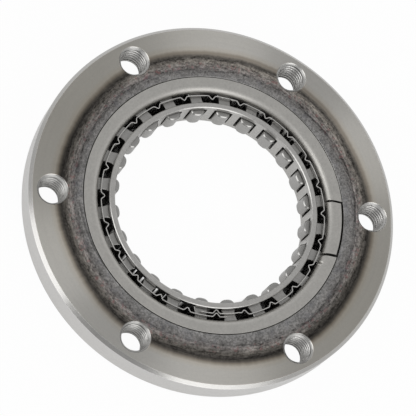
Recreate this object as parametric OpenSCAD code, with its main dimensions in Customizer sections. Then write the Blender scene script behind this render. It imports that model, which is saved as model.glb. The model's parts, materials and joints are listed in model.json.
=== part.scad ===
// One-way sprag clutch: a tapped outer-race ring with a double-cage sprag assembly in its bore.
// It lies on its back: Z is the clutch axis, the cages end at z = 0 and the mounting face looks up.

/* [Housing] */
// Diameter of the race that the sprags wedge against
race_d = 65.6; // [58:0.1:80]
// Thickness of the ring between its flat faces
housing_t = 9.6; // [8:0.1:14]
// Wall between a bolt hole and the rim
rim_land = 2.25; // [1.5:0.05:6]
// Chamfer on both outer rims
rim_chamfer = 1; // [0.3:0.1:1.5]
// Chamfer at both ends of the race
race_chamfer = 0.6; // [0.5:0.1:1]
// Chamfer at the mouth of the counterbore
mouth_chamfer = 0.2; // [0.1:0.05:0.4]

/* [Bolt holes] */
// Number of tapped holes
bolt_count = 6; // [3:1:8]
// Wall between a bolt hole and the counterbore
bolt_land = 4.1; // [1:0.1:8]
// Outside diameter of the bolt thread
bolt_d = 8; // [5:0.5:9]
// Lead-in chamfer at both ends of each hole
bolt_chamfer = 0.25; // [0.1:0.05:0.5]

/* [Cages] */
// How far the cages stand out behind the ring
cage_stand = 0.7; // [0.4:0.1:2]
// Sheet thickness of the outer cage
sheet_t = 0.9; // [0.6:0.05:1.1]
// Inside radius of the outer cage's bend
bend_r = 0.85; // [0.4:0.05:1.1]
// How far the outer cage's flange reaches past the race
flange_reach = 2.65; // [2:0.05:4]
// Width of the drag tongue in the flange
tongue_w = 15.6; // [10:0.1:18]
// How far the tongue's edge stands back from the flange's edge
tongue_setback = 0.35; // [0.1:0.05:0.6]
// Width of the slits beside the tongue
slit_w = 0.5; // [0.3:0.05:0.8]
// Direction of the middle of the tongue, in degrees
tongue_angle = -66.9; // [-90:0.1:-40]
// Depth of the inner cage's front rim below the mounting face
inner_drop = 0.6; // [0.3:0.05:0.8]
// Wall thickness of the inner cage
inner_wall = 1.4; // [1:0.05:1.5]
// Rounding of the inner cage's rims
inner_round = 0.4; // [0.1:0.05:0.45]

/* [Sprags] */
// How far a sprag's ends lie inside the inner cage's rims
sprag_inset = 1.9; // [1.7:0.05:2.4]
// Width of a sprag at its waist
waist_w = 3.2; // [2.8:0.05:3.4]
// Radius of the cam at the nose
nose_r = 2.05; // [1.9:0.05:2.15]
// Radius of the cam at the head
head_r = 3; // [2.9:0.05:3.2]
// Sideways offset of the head cam from the middle of the nose
head_offset = 0.9; // [0.6:0.05:1.1]
// How much further the head reaches on its right than the waist
head_overhang = 0.8; // [0.6:0.05:0.9]
// Radius of the hollow flank on the right
right_flank_r = 4.5; // [4:0.1:5]
// Radius of the hollow flank on the left
left_flank_r = 8; // [7:0.1:9]
// Chamfer round both ends of a sprag
sprag_chamfer = 0.3; // [0.1:0.05:0.4]
// Direction of the first sprag, in degrees
first_sprag_angle = 7.8; // [0:0.1:14.9]
// Largest tilt of a sprag away from rest, in degrees
sprag_tilt = 12; // [4:0.5:13]

/* [Ribbon spring] */
// Thickness of the strip
strip_t = 0.25; // [0.15:0.01:0.3]
// How far the strip's edges lie inside the inner cage's rims
strip_inset = 0.45; // [0.3:0.05:0.8]
// Height of the hump in each crossbar
hump_h = 0.95; // [0.5:0.05:1]
// Width of each hump at its foot
hump_w = 2.1; // [1.6:0.05:2.2]
// Direction in which the strip's inner end starts, in degrees
strip_start = 201.8; // [198:0.1:205]
// Angle over which the strip's ends overlap
overlap_angle = 14; // [13:0.5:15]
// How far the inner end lies below the outer one
overlap_drop = 0.9; // [0.8:0.05:0.95]

/* [Clearances] */
// Running clearance between a sprag's head and the race
race_gap = 0.03; // [0.02:0.01:0.08]
// Clearance between the outer cage's wall and the race
cage_gap = 0.45; // [0.3:0.05:0.5]
// Clearance round the flange in its counterbore
flange_gap = 0.2; // [0.1:0.05:0.3]
// Clearance under the flange, and from its face to the mounting face
seat_gap = 0.05; // [0.03:0.01:0.1]
// Clearance beside a sprag in the windows of the outer cage and the strip
side_gap = 0.35; // [0.25:0.05:0.4]
// Clearance beside a nose in the windows of the inner cage
nose_gap = 0.5; // [0.45:0.05:0.6]
// Clearance at each end of a sprag in the windows
end_gap = 0.35; // [0.2:0.05:0.4]
// How far the noses stand out of the inner cage
nose_stand = 1.5; // [1.3:0.05:1.7]
// Clearance between the strip and the outer cage
strip_gap = 0.7; // [0.6:0.05:0.8]
// Clearance between the lowest hump and the inner cage
hump_gap = 0.25; // [0.15:0.05:0.5]

/* [Hidden] */
$fn = 96;
eps = 0.01;
cut_margin = 1;
sprag_count = 24;
pitch_angle = 360 / sprag_count;
housing_back_z = cage_stand;
mount_z = housing_back_z + housing_t;
race_r = race_d / 2;
flange_r = race_r + flange_reach;
flange_z = mount_z - seat_gap;
counterbore_r = flange_r + flange_gap;
counterbore_z = flange_z - sheet_t - seat_gap;
bolt_r = bolt_d / 2;
bolt_circle_r = counterbore_r + bolt_land + bolt_r;
housing_r = bolt_circle_r + bolt_r + rim_land;

// From the race inwards: the outer cage's wall, the strip's middle line, the inner cage's wall, the noses
outer_or = race_r - cage_gap;
outer_ir = outer_or - sheet_t;
bend_or = bend_r + sheet_t;
strip_r = outer_ir - strip_gap - strip_t / 2;
inner_or = strip_r - strip_t / 2 - hump_h - overlap_drop - hump_gap;
inner_ir = inner_or - inner_wall;
nose_circle_r = inner_ir - nose_stand;

// Heights of the strip, the sprags and the windows that they share
inner_front_z = mount_z - inner_drop;
strip_w = inner_front_z - 2 * strip_inset;
sprag_l = inner_front_z - 2 * sprag_inset;
window_z = sprag_inset - end_gap;
window_l = sprag_l + 2 * end_gap;
window_top_z = window_z + window_l;

// A sprag has X along the radius and Y along the circle, with the nose on the X axis
nose_x = nose_circle_r + nose_r;
head_x = race_r - race_gap - head_r;
head_left = waist_w / 2;
head_right = waist_w / 2 + head_overhang;
waist_shift = 0.6;
left_flank_shift = 2;
left_bulge = 0.2;
waist_x = (nose_x + head_x) / 2 + waist_shift;
left_flank_x = waist_x + left_flank_shift;
left_waist = waist_w / 2 - left_bulge;

// The head's right corner, at rest and at full tilt, sets the windows' right sides
corner_x = head_x + sqrt(pow(head_r, 2) - pow(head_right - head_offset, 2));
corner_reach = head_offset + (head_right - head_offset) * cos(sprag_tilt)
    + (corner_x - head_x) * sin(sprag_tilt);
outer_window = [head_left + side_gap, corner_reach + side_gap];
strip_shift = 0.1;
strip_window = [head_left + strip_shift + side_gap, head_right - strip_shift + side_gap];
nose_window = [nose_r + nose_gap, nose_r + nose_gap];

// The strip's humps stand midway between the sprags
hump_half_angle = hump_w / 2 / strip_r * 180 / PI;
hump_phase = first_sprag_angle + pitch_angle / 2;
merge_angle = 6;
end_margin = 0.3;
hump_steps = [-1, -0.75, -0.5, -0.25, 0, 0.25, 0.5, 0.75, 1];
rail_steps = [0.25, 0.5, 0.75];

function sprag_angle(k) = first_sprag_angle + (k - 1) * pitch_angle;
function sprag_name(k) = str("sprag_", k < 10 ? "0" : "", k);

// A box along the radius at an angle, from r0 to r1, with Y from -sides[0] to sides[1]
module radial_box(angle, r0, r1, sides, z, h)
    rotate([0, 0, angle])
        translate([r0, -sides[0], z])
            cube([r1 - r0, sides[0] + sides[1], h]);

// One window per sprag through a wall between two radii
module sprag_windows(r0, r1, sides)
    for (k = [1:sprag_count])
        radial_box(sprag_angle(k), r0, r1, sides, window_z, window_l);

// A tapped hole's bore, with a lead-in chamfer at both faces
module bolt_bore() {
    cone_h = bolt_chamfer + eps;
    translate([0, 0, housing_back_z - eps])
        cylinder(r = bolt_r, h = housing_t + 2 * eps);
    translate([0, 0, mount_z - bolt_chamfer])
        cylinder(r1 = bolt_r, r2 = bolt_r + cone_h, h = cone_h);
    translate([0, 0, housing_back_z - eps])
        cylinder(r1 = bolt_r + cone_h, r2 = bolt_r, h = cone_h);
}

// The ring's section from the race out to the rim
module housing_section()
    polygon([
        [race_r + race_chamfer, housing_back_z],
        [housing_r - rim_chamfer, housing_back_z],
        [housing_r, housing_back_z + rim_chamfer],
        [housing_r, mount_z - rim_chamfer],
        [housing_r - rim_chamfer, mount_z],
        [counterbore_r + mouth_chamfer, mount_z],
        [counterbore_r, mount_z - mouth_chamfer],
        [counterbore_r, counterbore_z],
        [race_r + race_chamfer, counterbore_z],
        [race_r, counterbore_z - race_chamfer],
        [race_r, housing_back_z + race_chamfer]
    ]);

module housing()
    color([0.60, 0.59, 0.57])
        difference() {
            rotate_extrude() housing_section();
            for (i = [0:bolt_count - 1])
                rotate([0, 0, i * 360 / bolt_count])
                    translate([bolt_circle_r, 0, 0])
                        bolt_bore();
        }

// The drawn cage's section: wall, bend and flange
module outer_cage_section() {
    bend_x = outer_ir + bend_or;
    bend_z = flange_z - bend_or;
    translate([outer_ir, 0])
        square([sheet_t, bend_z]);
    translate([bend_x, flange_z - sheet_t])
        square([flange_r - bend_x, sheet_t]);
    translate([bend_x, bend_z])
        intersection() {
            difference() {
                circle(r = bend_or);
                circle(r = bend_r);
            }
            translate([-bend_or, 0])
                square(bend_or);
        }
}

// The two slits beside the tongue, open to the windows below, and the step in its edge
module tongue_cuts() {
    tongue_r0 = inner_or;
    tongue_r1 = flange_r + cut_margin;
    cut_z = window_top_z - eps;
    cut_h = mount_z - cut_z;
    for (side = [-1, 1])
        rotate([0, 0, tongue_angle])
            translate([tongue_r0, side * (tongue_w + slit_w) / 2 - slit_w / 2, cut_z])
                cube([tongue_r1 - tongue_r0, slit_w, cut_h]);
    intersection() {
        radial_box(tongue_angle, tongue_r0, tongue_r1, [tongue_w / 2, tongue_w / 2], cut_z, cut_h);
        difference() {
            translate([0, 0, cut_z])
                cylinder(r = tongue_r1, h = cut_h);
            translate([0, 0, cut_z - eps])
                cylinder(r = flange_r - tongue_setback, h = cut_h + 2 * eps);
        }
    }
}

module outer_cage()
    color([0.66, 0.65, 0.63])
        difference() {
            rotate_extrude() outer_cage_section();
            sprag_windows(outer_ir - cut_margin, outer_or + cut_margin, outer_window);
            tongue_cuts();
        }

// The inner cage's section, with every corner rounded
module inner_cage_section()
    for (x = [inner_ir, inner_or - 2 * inner_round])
        translate([x, 0]) {
            translate([inner_round, inner_round])
                circle(r = inner_round);
            translate([inner_round, inner_front_z - inner_round])
                circle(r = inner_round);
            translate([0, inner_round])
                square([2 * inner_round, inner_front_z - 2 * inner_round]);
        }

module inner_cage()
    color([0.63, 0.62, 0.60])
        difference() {
            rotate_extrude() {
                inner_cage_section();
                translate([inner_ir + inner_round, 0])
                    square([inner_wall - 2 * inner_round, inner_front_z]);
            }
            sprag_windows(inner_ir - cut_margin, inner_or + cut_margin, nose_window);
        }

// How far the strip's middle line lies inside its rail radius at an angle
function hump(a) =
    let (off = (a - hump_phase + 0.5 * pitch_angle) % pitch_angle - 0.5 * pitch_angle)
    abs(off) < hump_half_angle ? hump_h * (1 + cos(180 * off / hump_half_angle)) / 2 : 0;
function ease(t) = t <= 0 ? 0 : t >= 1 ? 1 : t * t * (3 - 2 * t);
function end_drop(a) =
    overlap_drop * (1 - ease((a - strip_start - overlap_angle - merge_angle) / merge_angle));
function strip_point(a) = (strip_r - hump(a) - end_drop(a)) * [cos(a), sin(a)];
function strip_normal(a) =
    let (d = strip_point(a + 0.05) - strip_point(a - 0.05))
    [d[1], -d[0]] / norm(d);
function strip_side(a, side) = strip_point(a) + side * strip_t / 2 * strip_normal(a);

// The angles at which the strip's outline is drawn: close on the humps, wide on the rails
strip_end = strip_start + 360 + overlap_angle;
strip_first = floor((strip_start - hump_phase) / pitch_angle) - 1;
strip_angles = [
    strip_start,
    for (k = [strip_first:strip_first + sprag_count + 4])
        let (a = hump_phase + k * pitch_angle)
        for (s = concat(
            [for (h = hump_steps) a + h * hump_half_angle],
            [for (r = rail_steps) a + hump_half_angle + r * (pitch_angle - 2 * hump_half_angle)]
        ))
            if (s > strip_start + end_margin && s < strip_end - end_margin) s,
    strip_end
];

module ribbon_spring()
    color([0.70, 0.69, 0.66])
        difference() {
            translate([0, 0, strip_inset])
                linear_extrude(strip_w)
                    polygon(concat(
                        [for (a = strip_angles) strip_side(a, 1)],
                        [for (i = [len(strip_angles) - 1:-1:0]) strip_side(strip_angles[i], -1)]
                    ));
            sprag_windows(inner_or - cut_margin, outer_ir + cut_margin, strip_window);
        }

// A disc as long as a sprag, with its ends chamfered
module cam_disc(r) {
    cylinder(r1 = r - sprag_chamfer, r2 = r, h = sprag_chamfer);
    translate([0, 0, sprag_chamfer])
        cylinder(r = r, h = sprag_l - 2 * sprag_chamfer);
    translate([0, 0, sprag_l - sprag_chamfer])
        cylinder(r1 = r, r2 = r - sprag_chamfer, h = sprag_chamfer);
}

// What a hollow flank takes away, wider at both ends
module flank_cut(r) {
    cone_h = sprag_chamfer + eps;
    translate([0, 0, -eps])
        cylinder(r = r, h = sprag_l + 2 * eps);
    translate([0, 0, -eps])
        cylinder(r1 = r + cone_h, r2 = r, h = cone_h);
    translate([0, 0, sprag_l - sprag_chamfer])
        cylinder(r1 = r, r2 = r + cone_h, h = cone_h);
}

// A bar along the radius, with its sides chamfered at both ends of the sprag
module chamfered_bar(x0, x1, y0, y1)
    translate([x0, 0, 0])
        rotate([90, 0, 90])
            linear_extrude(x1 - x0)
                polygon([
                    [y0 + sprag_chamfer, 0],
                    [y1 - sprag_chamfer, 0],
                    [y1, sprag_chamfer],
                    [y1, sprag_l - sprag_chamfer],
                    [y1 - sprag_chamfer, sprag_l],
                    [y0 + sprag_chamfer, sprag_l],
                    [y0, sprag_l - sprag_chamfer],
                    [y0, sprag_chamfer]
                ]);

// A sprag: nose and head cams joined by a waist with a hollow flank on either side
module sprag_body() {
    translate([nose_x, 0, 0])
        cam_disc(nose_r);
    difference() {
        union() {
            intersection() {
                translate([head_x, head_offset, 0])
                    cam_disc(head_r);
                chamfered_bar(head_x, head_x + head_r, -head_r, head_right);
            }
            chamfered_bar(nose_x, head_x, -nose_r, nose_r);
        }
        translate([waist_x, waist_w / 2 + right_flank_r, 0])
            flank_cut(right_flank_r);
        translate([left_flank_x, -left_waist - left_flank_r, 0])
            flank_cut(left_flank_r);
    }
}

module sprag(k)
    color([0.50, 0.50, 0.49])
        rotate([0, 0, sprag_angle(k)])
            translate([0, 0, sprag_inset])
                sprag_body();

housing();
outer_cage();
inner_cage();
ribbon_spring();
for (k = [1:sprag_count])
    sprag(k);
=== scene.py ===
import json
import math
from functools import reduce

import bmesh
import bpy
import numpy as np
from mathutils import Matrix, Vector
from mathutils.geometry import tessellate_polygon


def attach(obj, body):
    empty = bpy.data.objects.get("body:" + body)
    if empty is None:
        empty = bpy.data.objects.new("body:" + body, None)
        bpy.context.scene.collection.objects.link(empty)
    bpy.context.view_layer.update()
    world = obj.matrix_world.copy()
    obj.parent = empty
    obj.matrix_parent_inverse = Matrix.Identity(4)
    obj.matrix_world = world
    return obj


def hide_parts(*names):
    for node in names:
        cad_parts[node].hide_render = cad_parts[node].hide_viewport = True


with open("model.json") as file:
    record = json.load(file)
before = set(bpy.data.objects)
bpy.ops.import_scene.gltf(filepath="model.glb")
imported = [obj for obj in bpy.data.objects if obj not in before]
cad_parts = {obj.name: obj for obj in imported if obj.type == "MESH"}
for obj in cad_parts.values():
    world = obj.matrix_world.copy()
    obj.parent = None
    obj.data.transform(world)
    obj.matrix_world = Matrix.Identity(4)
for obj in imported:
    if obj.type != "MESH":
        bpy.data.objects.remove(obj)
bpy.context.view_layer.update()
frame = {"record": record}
scene = bpy.context.scene
MM = 0.001

# ---------------------------------------------------------------- sizes in millimetres, angles in degrees

# As in the part's source
RACE_R, HOUSING_T, CAGE_STAND = 32.8, 9.6, 0.7
RIM_LAND, RIM_CHAMFER, RACE_CHAMFER = 2.25, 1.0, 0.6
BOLT_COUNT, BOLT_R, BOLT_LAND, BOLT_CHAMFER = 6, 4.0, 4.1, 0.25
SHEET_T, BEND_R, FLANGE_REACH, TONGUE_SETBACK = 0.9, 0.85, 2.65, 0.35
INNER_DROP, INNER_WALL = 0.6, 1.4
SPRAG_COUNT, SPRAG_INSET, SPRAG_CHAMFER, FIRST_SPRAG, SPRAG_TILT = 24, 1.9, 0.3, 7.8, 12
WAIST_W, NOSE_R, HEAD_R, HEAD_OFFSET, HEAD_OVERHANG = 3.2, 2.05, 3.0, 0.9, 0.8
RIGHT_FLANK_R, LEFT_FLANK_R, WAIST_SHIFT, LEFT_SHIFT, LEFT_BULGE = 4.5, 8.0, 0.6, 2.0, 0.2
STRIP_T, STRIP_INSET, STRIP_SHIFT, HUMP_H, HUMP_W = 0.25, 0.45, 0.1, 0.95, 2.1
STRIP_START, OVERLAP, OVERLAP_DROP, MERGE = 201.8, 14.0, 0.9, 6.0
RACE_GAP, CAGE_GAP, FLANGE_GAP, SEAT_GAP = 0.03, 0.45, 0.2, 0.05
SIDE_GAP, NOSE_GAP, END_GAP, NOSE_STAND, STRIP_GAP, HUMP_GAP = 0.35, 0.5, 0.35, 1.5, 0.7, 0.25

# Only here: small corrections to the source's forms, found with the render laid over the photograph
BEND_MORE, FLANGE_MORE, MOUTH_EDGE, INNER_MORE = 0.3, 0.03, 0.15, 0.1
TONGUE_ANGLE, LOWER_SLIT, UPPER_SLIT = -67.1, (7.25, 7.98), (7.32, 7.88)
INNER_EDGE, OUTER_EDGE, NOSE_POWER = 0.22, 0.2, 2.6

# Only here: the stake mark on the cage's bend, and the threads with the turn of each
STAKE_ANGLE, STAKE_DEPTH = 274.5, 0.34
THREAD_PITCH, THREAD_CREST_R = 1.25, 3.42
THREAD_STARTS = (20, 145, 230, 75, 310, 170)

PITCH = 360 / SPRAG_COUNT
BACK_Z, MOUNT_Z = CAGE_STAND, CAGE_STAND + HOUSING_T
FLANGE_R, FLANGE_Z = RACE_R + FLANGE_REACH, MOUNT_Z - SEAT_GAP
MOUTH_R, MOUTH_Z = FLANGE_R + FLANGE_GAP, FLANGE_Z - SHEET_T - SEAT_GAP
BOLT_CIRCLE_R = MOUTH_R + BOLT_LAND + BOLT_R
HOUSING_R = BOLT_CIRCLE_R + BOLT_R + RIM_LAND
OUTER_OR = RACE_R - CAGE_GAP
OUTER_IR = OUTER_OR - SHEET_T
STRIP_R = OUTER_IR - STRIP_GAP - STRIP_T / 2
INNER_OR = STRIP_R - STRIP_T / 2 - HUMP_H - OVERLAP_DROP - HUMP_GAP
INNER_IR = INNER_OR - INNER_WALL
NOSE_CIRCLE_R = INNER_IR - NOSE_STAND
INNER_Z = MOUNT_Z - INNER_DROP
SPRAG_L, STRIP_W = INNER_Z - 2 * SPRAG_INSET, INNER_Z - 2 * STRIP_INSET
SPRAG_TOP = SPRAG_INSET + SPRAG_L
WINDOW_Z = SPRAG_INSET - END_GAP
WINDOW_TOP = WINDOW_Z + SPRAG_L + 2 * END_GAP
NOSE_X, HEAD_X = NOSE_CIRCLE_R + NOSE_R, RACE_R - RACE_GAP - HEAD_R
WAIST_X = (NOSE_X + HEAD_X) / 2 + WAIST_SHIFT
LEFT_X, LEFT_WAIST = WAIST_X + LEFT_SHIFT, WAIST_W / 2 - LEFT_BULGE
HEAD_LEFT, HEAD_RIGHT = WAIST_W / 2, WAIST_W / 2 + HEAD_OVERHANG
SPRAG_ANGLES = [FIRST_SPRAG + k * PITCH for k in range(SPRAG_COUNT)]
HUMP_PHASE = FIRST_SPRAG + PITCH / 2
HUMP_HALF = math.degrees(HUMP_W / 2 / STRIP_R)
STRIP_END = STRIP_START + 360 + OVERLAP

# The side that the photograph was taken from
FRONT_AZIMUTH = 172.5


def rad(a):
    return math.radians(a)


def half_angle(width, r):
    """The angle that half a straight width takes up at a radius."""
    return math.degrees(math.asin(width / r))


def apart(a, b):
    """The turn from angle b to angle a, from -180 to 180."""
    return (a - b + 180) % 360 - 180


def ease(t):
    t = min(1, max(0, t))
    return t * t * (3 - 2 * t)


def polar(r, angle, z):
    return (r * math.cos(rad(angle)), r * math.sin(rad(angle)), z)


# ---------------------------------------------------------------- mesh helpers

def link_object(name, me):
    ob = bpy.data.objects.new(name, me)
    scene.collection.objects.link(ob)
    return ob


def weigh_normals(ob):
    mod = ob.modifiers.new("flat faces stay flat", "WEIGHTED_NORMAL")
    mod.mode, mod.weight, mod.keep_sharp = "FACE_AREA", 80, True


def finish_mesh(ob, sharp):
    """Smooth shading that keeps flat faces flat, and corners of more than sharp degrees."""
    me = ob.data
    me.polygons.foreach_set("use_smooth", [True] * len(me.polygons))
    me.set_sharp_from_angle(angle=rad(sharp))
    weigh_normals(ob)
    me.update()
    return ob


def copies(first, name, count, matrix_of):
    """The first object and others of the same mesh, each placed by its own matrix."""
    obs = []
    for i in range(count):
        ob = first if i == 0 else link_object(name, first.data)
        if i:
            weigh_normals(ob)
        ob.name = f"{name}_{i + 1:02d}"
        ob.matrix_world = matrix_of(i)
        obs.append(ob)
    return obs


def make_object(name, verts, faces):
    """A mesh object from points in millimetres, with its normals outwards."""
    me = bpy.data.meshes.new(name)
    me.from_pydata([tuple(float(c) * MM for c in v) for v in verts], [], [list(f) for f in faces])
    bm = bmesh.new()
    bm.from_mesh(me)
    bmesh.ops.delete(bm, geom=[v for v in bm.verts if not v.link_faces], context="VERTS")
    bmesh.ops.remove_doubles(bm, verts=bm.verts, dist=1e-7)
    bmesh.ops.recalc_face_normals(bm, faces=bm.faces)
    bm.to_mesh(me)
    bm.free()
    return link_object(name, me)


def bevel_edges(ob, wanted, width, segments, min_angle=50.0):
    """Rounds the edges that bend by more than min_angle and whose middle, in millimetres, is wanted."""
    bm = bmesh.new()
    bm.from_mesh(ob.data)
    edges = []
    for e in bm.edges:
        if len(e.link_faces) != 2 or e.calc_face_angle(0.0) < rad(min_angle):
            continue
        if wanted(*((e.verts[0].co + e.verts[1].co) / 2 / MM)):
            edges.append(e)
    bmesh.ops.bevel(bm, geom=edges, offset=width * MM, segments=segments, profile=0.5,
                    affect="EDGES", clamp_overlap=True)
    bm.to_mesh(ob.data)
    bm.free()


def rounded(points, radius):
    """An open polyline with its inner corners rounded."""
    steps = 4
    out = [np.array(points[0], float)]
    for before, corner, after in zip(points, points[1:], points[2:]):
        p = np.array(corner, float)
        a, b = np.array(before, float) - p, np.array(after, float) - p
        la, lb = np.linalg.norm(a), np.linalg.norm(b)
        a, b = a / la, b / lb
        half = math.acos(max(-1, min(1, float(a @ b)))) / 2
        back = min(radius / math.tan(half), la / 2, lb / 2)
        r = back * math.tan(half)
        centre = p + (a + b) / np.linalg.norm(a + b) * r / math.sin(half)
        s, e = p + a * back - centre, p + b * back - centre
        turn = math.atan2(s[0] * e[1] - s[1] * e[0], float(s @ e))
        for t in np.linspace(0, turn, steps + 1):
            c, d = math.cos(t), math.sin(t)
            out.append(centre + np.array([c * s[0] - d * s[1], d * s[0] + c * s[1]]))
    return out + [np.array(points[-1], float)]


def thick_sheet(name, front, back, cells, closed):
    """A sheet with two skins, front and back, as arrays of points by column and station.

    cells says where it is solid, between a column and the next and a station and the next.
    """
    n, m = front.shape[:2]
    columns = n if closed else n - 1
    verts = np.concatenate([front.reshape(-1, 3), back.reshape(-1, 3)])

    def at(j, k, side):
        return side * n * m + (j % n) * m + k

    def solid(j, k):
        if closed:
            j %= columns
        return 0 <= j < columns and 0 <= k < m - 1 and cells[j][k]

    faces = []
    for j in range(columns):
        for k in range(m - 1):
            if not cells[j][k]:
                continue
            a, b, c, d = (j, k), (j + 1, k), (j + 1, k + 1), (j, k + 1)
            faces.append([at(*p, 0) for p in (a, b, c, d)])
            faces.append([at(*p, 1) for p in (d, c, b, a)])
            for there, p, q in ((solid(j, k - 1), b, a), (solid(j + 1, k), c, b),
                                (solid(j, k + 1), d, c), (solid(j - 1, k), a, d)):
                if not there:
                    faces.append([at(*p, 0), at(*q, 0), at(*q, 1), at(*p, 1)])
    return make_object(name, verts, faces)


def spaced(marks, step):
    """The marks in order, with more between them so that none are further apart than step."""
    marks = sorted(marks)
    out = []
    for a, b in zip(marks, marks[1:]):
        n = max(1, math.ceil((b - a) / step - 1e-6))
        out += [a + (b - a) * i / n for i in range(n)]
    return out + [marks[-1]]


def middles(columns):
    """The angle half way from each column to the next, all round."""
    return [(a + b) / 2 for a, b in zip(columns, columns[1:] + [columns[0] + 360])]


# ---------------------------------------------------------------- housing

def housing_mesh():
    ring_segments, hole_segments = 360, 96
    rim_round, bore_round, hole_round = 0.12, 0.07, 0.06
    # How far each turned profile runs on along the flat faces
    land, hole_land = 0.3, 0.1
    verts, faces = [], []

    def turn(profile, centre, n):
        """Turns an open profile round an axis. Returns its first and last ring."""
        start = len(verts)
        for r, z in profile:
            for i in range(n):
                a = 2 * math.pi * i / n
                verts.append((centre[0] + r * math.cos(a), centre[1] + r * math.sin(a), z))
        for k in range(len(profile) - 1):
            for i in range(n):
                j = (i + 1) % n
                o, p = start + k * n, start + (k + 1) * n
                faces.append([o + i, o + j, p + j, p + i])
        last = start + (len(profile) - 1) * n
        return list(range(start, start + n)), list(range(last, last + n))

    rim = rounded([
        (HOUSING_R - RIM_CHAMFER - land, MOUNT_Z), (HOUSING_R - RIM_CHAMFER, MOUNT_Z),
        (HOUSING_R, MOUNT_Z - RIM_CHAMFER), (HOUSING_R, BACK_Z + RIM_CHAMFER),
        (HOUSING_R - RIM_CHAMFER, BACK_Z), (HOUSING_R - RIM_CHAMFER - land, BACK_Z)], rim_round)
    bore = rounded([
        (RACE_R + RACE_CHAMFER + land, BACK_Z), (RACE_R + RACE_CHAMFER, BACK_Z),
        (RACE_R, BACK_Z + RACE_CHAMFER), (RACE_R, MOUTH_Z - RACE_CHAMFER),
        (RACE_R + RACE_CHAMFER, MOUTH_Z), (MOUTH_R, MOUTH_Z),
        (MOUTH_R, MOUNT_Z - MOUTH_EDGE), (MOUTH_R + MOUTH_EDGE, MOUNT_Z),
        (MOUTH_R + MOUTH_EDGE + land, MOUNT_Z)], bore_round)
    mouth = BOLT_R + BOLT_CHAMFER
    hole = rounded([
        (mouth + hole_land, MOUNT_Z), (mouth, MOUNT_Z), (BOLT_R, MOUNT_Z - BOLT_CHAMFER),
        (BOLT_R, BACK_Z + BOLT_CHAMFER), (mouth, BACK_Z), (mouth + hole_land, BACK_Z)], hole_round)
    rim_front, rim_back = turn(rim, (0, 0), ring_segments)
    bore_back, bore_front = turn(bore, (0, 0), ring_segments)
    front, back = [rim_front, bore_front], [rim_back, bore_back]
    for i in range(BOLT_COUNT):
        hole_front, hole_back = turn(hole, polar(BOLT_CIRCLE_R, i * 360 / BOLT_COUNT, 0)[:2], hole_segments)
        front.append(hole_front)
        back.append(hole_back)
    for loops in (front, back):
        flat = [i for loop in loops for i in loop]
        for tri in tessellate_polygon([[Vector((*verts[i][:2], 0)) for i in loop] for loop in loops]):
            faces.append([flat[i] for i in tri])
    return make_object("housing_body", verts, faces)


def thread_mesh():
    """The ridge of a tapped hole's thread, run out in the lead-in chamfers at both ends."""
    name, per_turn = "thread_ridge", 72
    # The ridge starts a little inside the hole's wall, and runs on past both faces before it is cut off
    buried, overrun = 0.03, 0.55
    base, lead = BOLT_R + buried, BOLT_CHAMFER - buried
    # Half of its width, and the radius there, from the root to the crest
    flank = [(0.56, base), (0.30, 3.62), (0.21, 3.475), (0.12, THREAD_CREST_R)]
    section = [(-w, r) for w, r in flank] + [(w, r) for w, r in reversed(flank)]
    chamfer_r = BOLT_R + BOLT_CHAMFER
    count = int((HOUSING_T + 2 * overrun) / THREAD_PITCH * per_turn)
    verts, faces = [], []
    for i in range(count + 1):
        u = i / per_turn
        z0 = BACK_Z - overrun + THREAD_PITCH * u
        a = 2 * math.pi * u
        for dz, r in section:
            z = min(max(z0 + dz, BACK_Z + lead), MOUNT_Z - lead)
            limit = chamfer_r - min(MOUNT_Z - z, z - BACK_Z)
            r = min(max(r, limit), base)
            verts.append((r * math.cos(a), r * math.sin(a), z))
    n = len(section)
    for i in range(count):
        for k in range(n):
            j = (k + 1) % n
            faces.append([i * n + k, i * n + j, (i + 1) * n + j, (i + 1) * n + k])
    me = bpy.data.meshes.new(name)
    me.from_pydata([tuple(c * MM for c in v) for v in verts], [], faces)
    bm = bmesh.new()
    bm.from_mesh(me)
    bmesh.ops.dissolve_degenerate(bm, dist=2e-6, edges=bm.edges)
    bmesh.ops.recalc_face_normals(bm, faces=bm.faces)
    bm.to_mesh(me)
    bm.free()
    return link_object(name, me)


# ---------------------------------------------------------------- cages

CAGE_STEP = 0.9
WINDOW_ROW = 1


def stake_dent(along, station, first, last):
    """How deep the stake mark is pressed in, with the small ridges thrown up beside it."""
    half_length, width, deepest = 5.5, 0.24, 6
    ridge, ridge_at, ridge_width, reach = 0.13, 0.52, 0.16, 1.2
    if abs(along) >= reach or not first <= station <= last:
        return 0.0
    up = (station - first - deepest) / half_length
    dent = STAKE_DEPTH * math.exp(-(along / width) ** 2 - up ** 2)
    return dent - ridge * math.exp(-((abs(along) - ridge_at) / ridge_width) ** 2 - up ** 2)


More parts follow.
